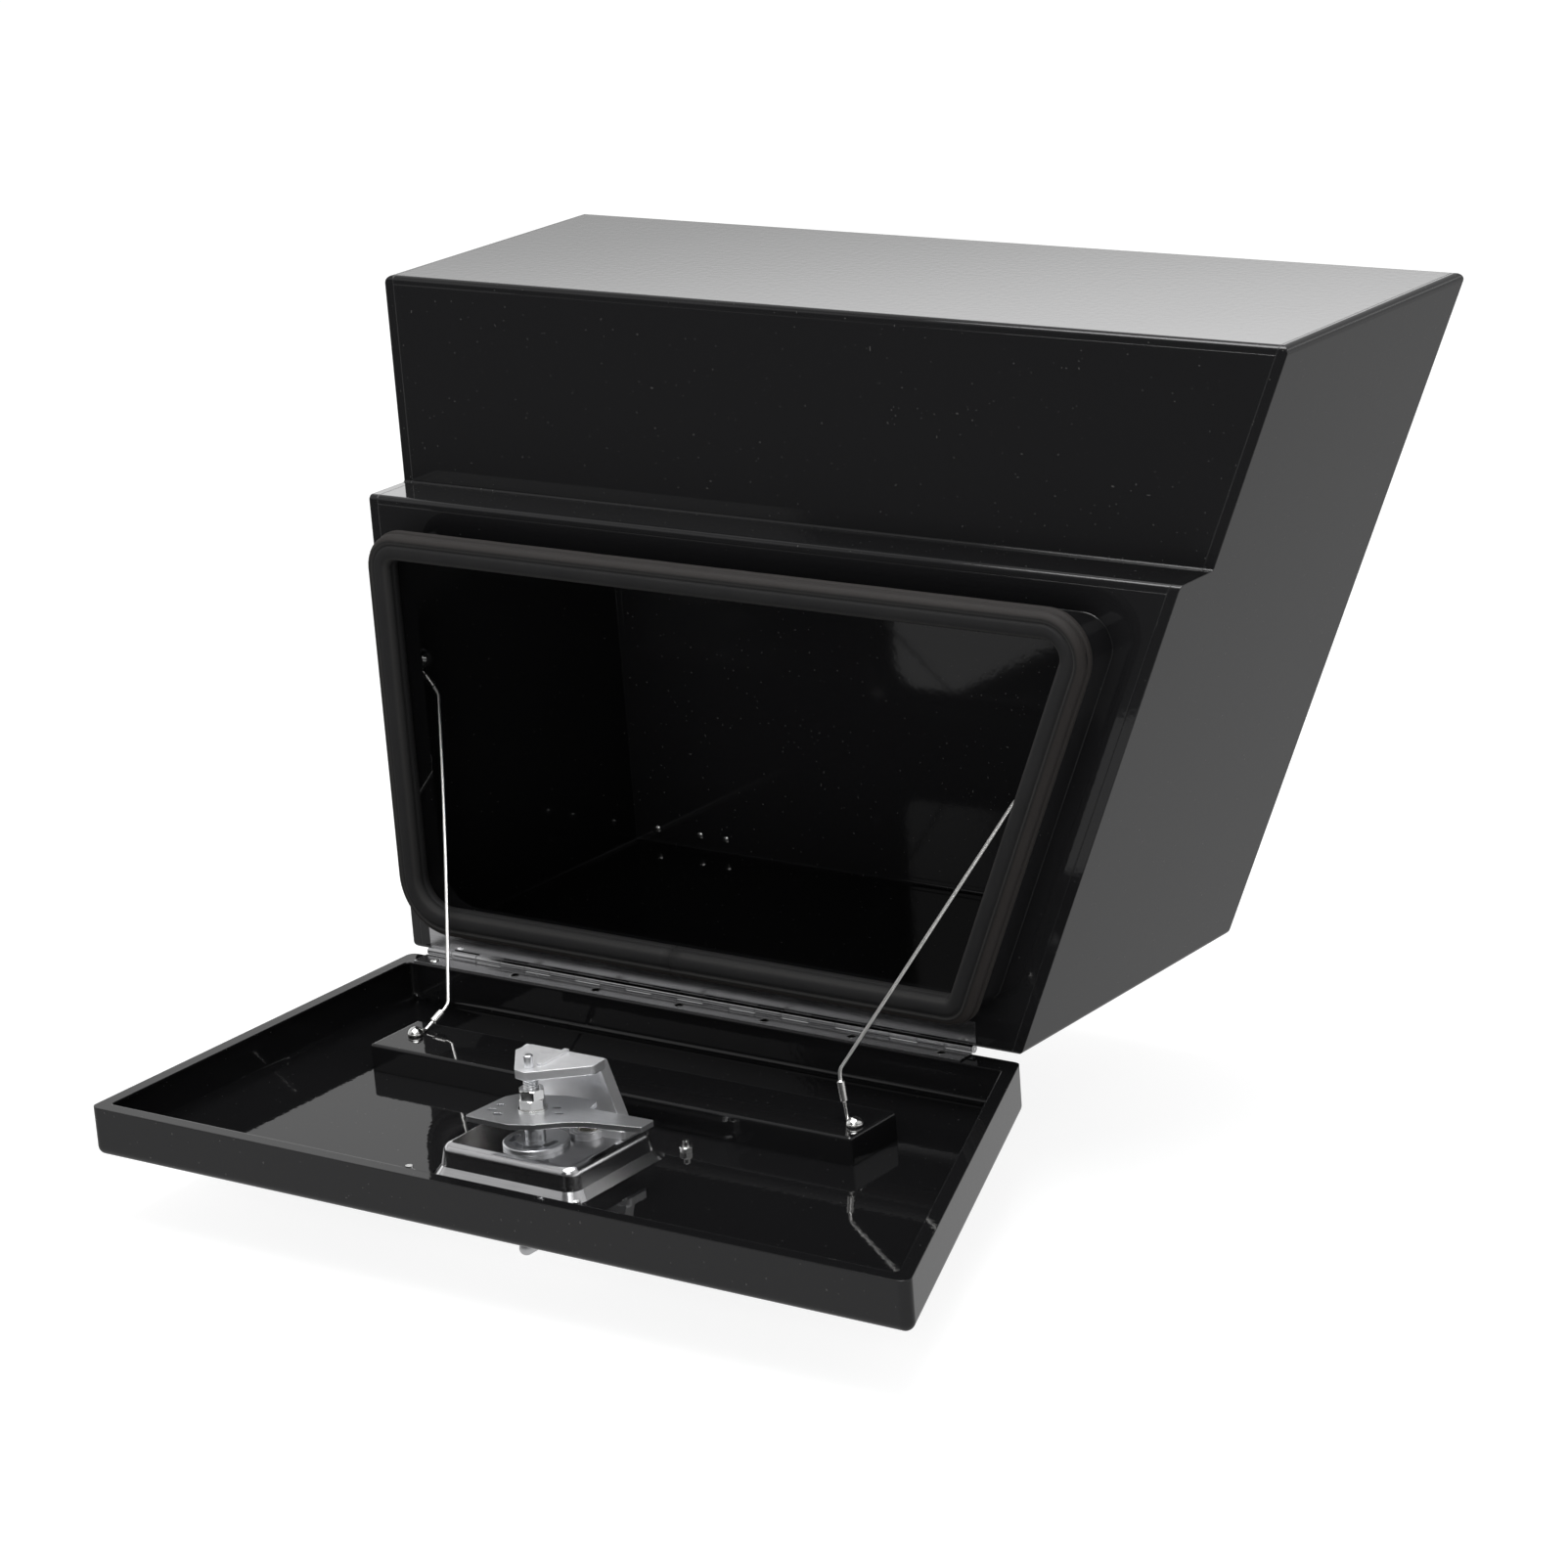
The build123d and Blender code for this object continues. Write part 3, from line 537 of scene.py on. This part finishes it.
@dataclass
class DoorSeal:
    """The sponge seal round the mouth, swept from its section and butt-jointed below."""

    finish: bpy.types.Material
    slope: float = END_SLOPE
    width: float = 17 * MM
    radii: tuple[float, float, float, float] = (35 * MM, 22 * MM, 25 * MM, 20 * MM)
    step: float = 9 * MM
    joint_gap: float = 0.35 * MM
    waver: float = 0.35 * MM
    # The section, from the outer back corner over the crown to the inner back corner:
    # (inset from the outline, rise from the back), in millimetres.
    section: tuple[tuple[float, float], ...] = (
        (0.7, 0.0),
        (0.1, 0.7),
        (0.0, 3.0),
        (0.5, 3.9),
        (1.5, 4.1),
        (1.3, 5.0),
        (0.9, 6.1),
        (1.3, 7.9),
        (2.5, 9.5),
        (4.2, 10.5),
        (5.6, 10.6),
        (6.3, 9.9),
        (6.9, 9.9),
        (7.5, 10.7),
        (9.0, 11.0),
        (11.6, 11.0),
        (13.6, 10.4),
        (15.2, 9.2),
        (16.2, 7.5),
        (16.7, 5.9),
        (16.3, 5.2),
        (16.9, 4.4),
        (17.0, 1.0),
        (16.4, 0.0),
        (9.4, 0.0),
        (9.4, 5.3),
        (7.6, 5.3),
        (7.6, 0.0),
    )

    def corners(self) -> list[tuple[Vector, float]]:
        """The outline's corners and radii: low left, high left, high right, low right."""
        low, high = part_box("door_seal")
        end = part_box("top_panel")[1].x - MOUTH_END_MARGIN * END_SECANT
        places = (
            (low.x, low.z),
            (low.x, high.z),
            (end + self.slope * high.z, high.z),
            (end + self.slope * low.z, low.z),
        )
        return [(Vector((x, 0, z)), r) for (x, z), r in zip(places, self.radii)]

    def build(self) -> bpy.types.Object:
        """Sweeps the section round the mouth.

        Returns:
            The seal, which stands for the CAD one.
        """
        low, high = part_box("door_seal")
        corners = self.corners()
        start = Vector(((corners[0][0].x + corners[3][0].x) / 2, 0, low.z))
        shape = bmesh.new()
        band = shape.verts.layers.float.new("band")
        verts = []
        for inset, rise in self.section:
            place = Vector((start.x - self.joint_gap / 2, high.y - rise * MM, low.z + inset * MM))
            vert = shape.verts.new(place)
            vert[band] = inset * MM / self.width
            verts.append(vert)
        ring = [shape.edges.new(pair) for pair in zip(verts, verts[1:] + verts[:1])]
        shape.faces.new(verts)
        here = start.copy()
        for index, (corner, radius) in enumerate(corners):
            following = corners[(index + 1) % len(corners)][0]
            ahead = (corner - here).normalized()
            onward = (following - corner).normalized()
            turn = ahead.angle(onward)
            tangent = radius * math.tan(turn / 2)
            run = (corner - here).length - tangent
            ring = self.straight(shape, ring, ahead, run)
            inward = Matrix.Rotation(math.pi / 2, 3, "Y") @ ahead
            centre = corner - ahead * tangent + inward * radius
            ring = self.bend(shape, ring, centre, turn, radius)
            here = corner + onward * tangent
        last = (start - here).length - self.joint_gap
        ring = self.straight(shape, ring, (start - here).normalized(), last)
        shape.faces.new(self.loop_of(ring))
        self.roughen(shape)
        return finished("seal_strip", shape, self.finish)

    @staticmethod
    def loop_of(ring: list[bmesh.types.BMEdge]) -> list[bmesh.types.BMVert]:
        """The vertices of a closed ring of edges, in order."""
        first = ring[0].verts[0]
        ordered, edge, here = [first], ring[0], ring[0].verts[1]
        while here is not first:
            ordered.append(here)
            edge = next(e for e in ring if e is not edge and here in e.verts)
            here = edge.other_vert(here)
        return ordered

    def straight(
        self, shape: bmesh.types.BMesh, ring: list[bmesh.types.BMEdge], ahead: Vector, run: float
    ) -> list[bmesh.types.BMEdge]:
        """Extrudes the ring along a straight run in short steps.

        Args:
            shape: The mesh.
            ring: The section's edges at the run's start.
            ahead: The run's direction.
            run: Its length.

        Returns:
            The section's edges at the run's end.
        """
        count = max(1, round(run / self.step))
        for _ in range(count):
            made = bmesh.ops.extrude_edge_only(shape, edges=ring)["geom"]
            verts = [part for part in made if isinstance(part, bmesh.types.BMVert)]
            bmesh.ops.translate(shape, verts=verts, vec=ahead * (run / count))
            fresh = set(verts)
            ring = [
                part
                for part in made
                if isinstance(part, bmesh.types.BMEdge) and set(part.verts) <= fresh
            ]
        return ring

    @staticmethod
    def bend(
        shape: bmesh.types.BMesh,
        ring: list[bmesh.types.BMEdge],
        centre: Vector,
        turn: float,
        radius: float,
    ) -> list[bmesh.types.BMEdge]:
        """Spins the ring round a corner.

        Args:
            shape: The mesh.
            ring: The section's edges at the corner's start.
            centre: The corner arc's centre.
            turn: The angle it turns through.
            radius: The outer radius, which sets how many steps it takes.

        Returns:
            The section's edges at the corner's end.
        """
        verts = list({vert for edge in ring for vert in edge.verts})
        steps = max(6, round(turn * radius / (3.5 * MM)))
        made = bmesh.ops.spin(
            shape, geom=verts + ring, cent=centre, axis=(0, 1, 0), angle=turn, steps=steps
        )["geom_last"]
        return [part for part in made if isinstance(part, bmesh.types.BMEdge)]

    def roughen(self, shape: bmesh.types.BMesh) -> None:
        """Lets the thin outer lip waver a little along its length."""
        band = shape.verts.layers.float["band"]
        centre = sum((v.co for v in shape.verts), Vector()) / len(shape.verts)
        for vert in shape.verts:
            share = max(0.0, 1.0 - vert[band] / 0.12)
            inward = Vector((centre.x - vert.co.x, 0, centre.z - vert.co.z)).normalized()
            sway = 0.5 + 0.5 * noise.noise(vert.co * 70.0)
            vert.co += inward * (share * sway * self.waver)


# ---- Wire stays ------------------------------------------------------------


@dataclass
class WireStay:
    """One stranded stay wire between its two crimped eyes."""

    side: str
    route: tuple[tuple[float, float, float], ...]
    length: float
    finish: bpy.types.Material
    diameter: float = 2 * MM
    strands: int = 6
    strand_r: float = 0.34 * MM
    lay: float = 11 * MM
    winding_step: float = 0.9 * MM

    def line(self) -> list[Vector]:
        """The wire's centreline, read from the NURBS spline of its route."""
        curve = bpy.data.curves.new(f"route_{self.side}", "CURVE")
        curve.dimensions = "3D"
        curve.resolution_u = 24
        spline = curve.splines.new("NURBS")
        spline.points.add(len(self.route) - 1)
        for point, place in zip(spline.points, self.route):
            point.co = (*(Vector(place) * MM), 1.0)
        spline.order_u = 3
        spline.use_endpoint_u = True
        mesh = mesh_of_curve(curve, f"route_{self.side}")
        return [vert.co.copy() for vert in mesh.vertices]

    def strand(self, line: list[Vector], phase: float, offset: float) -> list[Vector]:
        """Points of one strand wound round the centreline.

        Args:
            line: The centreline.
            phase: The strand's starting angle.
            offset: Its distance from the centreline.

        Returns:
            The strand's points.
        """
        points, travelled = [], 0.0
        side = (line[1] - line[0]).orthogonal().normalized()
        for index, place in enumerate(line):
            after = line[min(index + 1, len(line) - 1)]
            before = line[max(index - 1, 0)]
            along = (after - before).normalized()
            side = (side - along * side.dot(along)).normalized()
            travelled += (place - before).length
            angle = phase + 2 * math.pi * travelled / self.lay
            turned = Matrix.Rotation(angle, 3, along) @ side
            points.append(place + turned * offset)
        return points

    def evenly(self, line: list[Vector], gap: float) -> list[Vector]:
        """Spaces the centreline's points closely enough to carry the lay.

        Args:
            line: The centreline.
            gap: The widest gap between points.

        Returns:
            The points.
        """
        points = [line[0]]
        for before, after in zip(line, line[1:]):
            count = max(1, math.ceil((after - before).length / gap))
            points += [before.lerp(after, (i + 1) / count) for i in range(count)]
        return points

    def build(self) -> bpy.types.Object:
        """Returns:
            The wire, which stands for the CAD one.
        """
        line = self.line()
        fine = self.evenly(line, self.winding_step)
        curve = bpy.data.curves.new(f"strands_{self.side}", "CURVE")
        curve.dimensions = "3D"
        curve.bevel_depth = self.strand_r
        curve.bevel_resolution = 1
        curve.use_fill_caps = True
        offset = self.diameter / 2 - self.strand_r
        turns = [2 * math.pi * i / self.strands for i in range(self.strands)]
        for places in [fine] + [self.strand(fine, phase, offset) for phase in turns]:
            spline = curve.splines.new("POLY")
            spline.points.add(len(places) - 1)
            for point, place in zip(spline.points, places):
                point.co = (*place, 1.0)
        mesh = mesh_of_curve(curve, f"strands_{self.side}")
        shape = bmesh.new()
        shape.from_mesh(mesh)
        wire = finished(f"wire_rope_{self.side}", shape, self.finish)
        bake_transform(wire, Body.BOX.value, Body.DOOR.value, start=line[0], end=line[-1])
        return wire


# ---- Lock details ----------------------------------------------------------


@dataclass
class SpindleThread:
    """The thread ridge on the lock spindle, above its two nuts."""

    finish: bpy.types.Material
    radius: float = 3.9 * MM
    pitch: float = 1.5 * MM
    height: float = 0.35 * MM
    sunk: float = 0.05 * MM
    bracket_plate: float = 7.4 * MM  # plate, rib and a little clearance

    def build(self) -> bpy.types.Object:
        """Spins the thread's ridge up the spindle.

        Returns:
            The ridge.
        """
        nuts_low, nuts_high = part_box("cam_nuts")
        axis = (nuts_low + nuts_high) / 2
        low = nuts_high.z - self.pitch
        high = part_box("steady_bracket")[1].z - self.bracket_plate
        turns = (high - low) / self.pitch - 1
        shape = bmesh.new()
        half = 0.42 * self.pitch
        core = self.radius - self.sunk
        ridge = ((core, -half), (self.radius + self.height, 0.0), (core, half))
        verts = [shape.verts.new((axis.x + r, axis.y, low + half + z)) for r, z in ridge]
        edges = [shape.edges.new(pair) for pair in zip(verts, verts[1:])]
        steps = max(24, int(turns * 24))
        bmesh.ops.spin(
            shape,
            geom=verts + edges,
            cent=(axis.x, axis.y, low),
            axis=(0, 0, 1),
            dvec=(0, 0, turns * self.pitch / steps),
            angle=turns * 2 * math.pi,
            steps=steps,
        )
        return finished("spindle_thread", shape, self.finish, smooth=False)


# ---- Studio ----------------------------------------------------------------


@dataclass
class Studio:
    """Pale floor, soft lights, surroundings and the camera."""

    floor_colour: Colour = (0.25, 0.25, 0.25)
    floor_glow: float = 0.86
    floor_size: float = 40.0
    near_floor: float = 1.1
    mirrored_glow: float = 0.48
    spread: tuple[float, float, float, float] = (-0.75, 0.15, 0.10, 0.85)
    # (sine of the elevation, brightness): the low band lights the top face from behind.
    band: tuple[tuple[float, float], ...] = (
        (0.0, 1.0),
        (0.168, 0.95),
        (0.190, 1.35),
        (0.205, 2.2),
        (0.220, 3.0),
        (0.275, 3.0),
        (0.325, 1.0),
        (1.0, 1.0),
    )
    light_aim: tuple[float, float, float] = (0.0, -0.2, -0.35)
    camera_place: tuple[float, float, float] = (1.5773, -2.2137, 0.5577)
    azimuth: float = 37.33
    elevation: float = 17.31
    roll: float = -4.39
    lens: float = 114.7

    def camera(self) -> bpy.types.Object:
        """The camera at its viewing angle, made the scene's camera."""
        turn, lift = math.radians(self.azimuth), math.radians(self.elevation)
        back = Vector(
            (math.sin(turn) * math.cos(lift), -math.cos(turn) * math.cos(lift), math.sin(lift))
        )
        side = Vector((math.cos(turn), math.sin(turn), 0))
        upright = Matrix((side, back.cross(side), back)).transposed()
        tilt = Matrix.Rotation(math.radians(self.roll), 3, "Z")
        data = bpy.data.cameras.new("camera")
        data.lens = self.lens
        data.sensor_width = 36.0
        data.clip_end = 60.0
        made = bpy.data.objects.new("camera", data)
        made.matrix_world = Matrix.Translation(self.camera_place) @ (upright @ tilt).to_4x4()
        bpy.context.scene.collection.objects.link(made)
        bpy.context.scene.camera = made
        return made

    def floor(self, height: float) -> None:
        """A plain pale floor: shiny surfaces show only a dimmer round part near the box.

        Args:
            height: Its Z.
        """
        seen, mirrored = Graph("pale_floor"), Graph("mirrored_floor")
        for graph, colour, glow in (
            (seen, self.floor_colour, self.floor_glow),
            (mirrored, (0.0, 0.0, 0.0), self.mirrored_glow),
        ):
            graph.dress(
                Base_Color=colour,
                Roughness=0.9,
                Emission_Color=(1.0, 1.0, 1.0),
                Emission_Strength=glow,
            )
        wide, near = bmesh.new(), bmesh.new()
        bmesh.ops.create_grid(
            wide,
            x_segments=1,
            y_segments=1,
            size=self.floor_size / 2,
            matrix=Matrix.Translation((0, 0, height)),
        )
        bmesh.ops.create_circle(
            near,
            cap_ends=True,
            segments=96,
            radius=self.near_floor,
            matrix=Matrix.Translation((0.1, 0.15, height - 0.1 * MM)),
        )
        far_floor = finished("floor_far", wide, seen.material, smooth=False)
        far_floor.visible_glossy = False
        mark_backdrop(far_floor, finished("floor_near", near, mirrored.material, smooth=False))

    def softbox(
        self,
        name: str,
        place: tuple[float, float, float],
        size: tuple[float, float],
        power: float,
        matt: bool = True,
        shiny: bool = True,
    ) -> bpy.types.Object:
        """One rectangular soft light, aimed at the middle of the box's front.

        Args:
            name: Its name.
            place: Its centre.
            size: Its width and height.
            power: Its power in watts.
            matt: Whether it lights surfaces evenly.
            shiny: Whether it shows as a highlight.

        Returns:
            The light.
        """
        data = bpy.data.lights.new(name, "AREA")
        data.shape = "RECTANGLE"
        data.size, data.size_y = size
        data.energy = power
        made = bpy.data.objects.new(name, data)
        facing = (Vector(self.light_aim) - Vector(place)).to_track_quat("-Z", "Y")
        made.matrix_world = Matrix.Translation(place) @ facing.to_matrix().to_4x4()
        made.visible_camera = False
        made.visible_diffuse = matt
        made.visible_glossy = shiny
        bpy.context.scene.collection.objects.link(made)
        return made

    def surround(self) -> None:
        """White behind the box with a brighter band low down, dim in front, white to the eye."""
        world = bpy.data.worlds.new("studio")
        bpy.context.scene.world = world
        world.use_nodes = True
        tree = world.node_tree
        nodes, links = tree.nodes, tree.links
        plain = nodes["Background"]
        plain.inputs["Color"].default_value = (1.0, 1.0, 1.0, 1.0)
        place = nodes.new("ShaderNodeTexCoord")
        split = nodes.new("ShaderNodeSeparateXYZ")
        links.new(place.outputs["Generated"], split.inputs[0])
        spread = nodes.new("ShaderNodeMapRange")
        spread.interpolation_type = "SMOOTHSTEP"
        for socket, value in zip(("From Min", "From Max", "To Min", "To Max"), self.spread):
            spread.inputs[socket].default_value = value
        links.new(split.outputs["Y"], spread.inputs["Value"])
        band = nodes.new("ShaderNodeValToRGB")
        Graph.set_ramp(band.color_ramp, ((z, (level,) * 3) for z, level in self.band))
        links.new(split.outputs["Z"], band.inputs["Fac"])
        level = nodes.new("ShaderNodeMath")
        level.operation = "MULTIPLY"
        links.new(spread.outputs[0], level.inputs[0])
        links.new(band.outputs[0], level.inputs[1])
        graded = nodes.new("ShaderNodeBackground")
        links.new(level.outputs[0], graded.inputs["Strength"])
        ray = nodes.new("ShaderNodeLightPath")
        pick = nodes.new("ShaderNodeMixShader")
        links.new(ray.outputs["Is Camera Ray"], pick.inputs[0])
        links.new(graded.outputs[0], pick.inputs[1])
        links.new(plain.outputs[0], pick.inputs[2])
        links.new(pick.outputs[0], nodes["World Output"].inputs["Surface"])

    def build(self, lowest: float) -> None:
        """Sets up the whole studio above a floor just under the lowest point."""
        bpy.context.scene.view_settings.view_transform = "Standard"
        self.camera()
        self.floor(lowest - 0.5 * MM)
        self.surround()
        self.softbox("overhead_softbox", (0.1, -0.2, 1.9), (1.8, 1.4), 40.0)
        self.softbox("metal_light", (-0.2, -0.7, 1.7), (1.5, 1.5), 60.0, matt=False)
        self.softbox("front_key", (0.9, -2.2, 1.6), (1.6, 1.2), 10.0, matt=False)
        self.softbox("left_fill", (-1.9, -1.6, 1.0), (1.4, 1.4), 3.0, matt=False)
        self.softbox("front_fill", (0.2, -2.0, 0.1), (1.6, 1.2), 20.0, shiny=False)


# ---- Whole box -------------------------------------------------------------


def wire_stays(finish: bpy.types.Material) -> list[WireStay]:
    """The two stays, with their routes in millimetres."""
    left = (
        (-290.82, -94.57, -244.41),
        (-288.0, -94.0, -248.5),
        (-286.2, -96.4, -252.3),
        (-266.2, -122.8, -294.8),
        (-240.1, -159.3, -352.5),
        (-221.3, -187.2, -395.9),
        (-219.4, -190.0, -400.2),
        (-220.31, -194.27, -402.64),
    )
    right = (
        (184.2, -111.85, -231.82),
        (167.0, -122.0, -233.0),
        (160.0, -136.9, -237.2),
        (155.0, -147.4, -240.2),
        (149.6, -152.0, -249.9),
        (77.2, -213.1, -380.0),
        (75.0, -215.0, -384.0),
        (76.04, -215.49, -388.87),
    )
    return [
        WireStay("left", left, 0.2019, finish),
        WireStay("right", right, 0.2310, finish),
    ]


def main() -> None:
    """Builds every sub-assembly round the frame, in order."""
    logging.basicConfig(level=logging.INFO, format="%(name)s: %(message)s")
    for thing in list(bpy.data.objects):
        bpy.data.objects.remove(thing)
    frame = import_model()
    cad_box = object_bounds()
    Studio().build(cad_box[0].z)
    finishes = Finishes()
    finishes.build()
    LOG.info("dressed %d CAD nodes", finishes.dress_frame(frame))

    seal = DoorSeal(finishes.by_slot[Slot.SEAL_RUBBER]).build()
    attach(seal, Body.BOX.value)
    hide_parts("door_seal")
    LOG.info("seal strip: %d faces", len(seal.data.polygons))

    for stay in wire_stays(finishes.by_slot[Slot.STAY_WIRE]):
        wire = stay.build()
        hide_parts(f"stay_wire_{stay.side}")
        LOG.info("%s wire: %d faces", stay.side, len(wire.data.polygons))

    thread = SpindleThread(finishes.by_slot[Slot.ZINC_STEEL]).build()
    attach(thread, Body.LATCH.value)
    LOG.info("spindle thread: %d faces", len(thread.data.polygons))


if __name__ == "__main__":
    main()
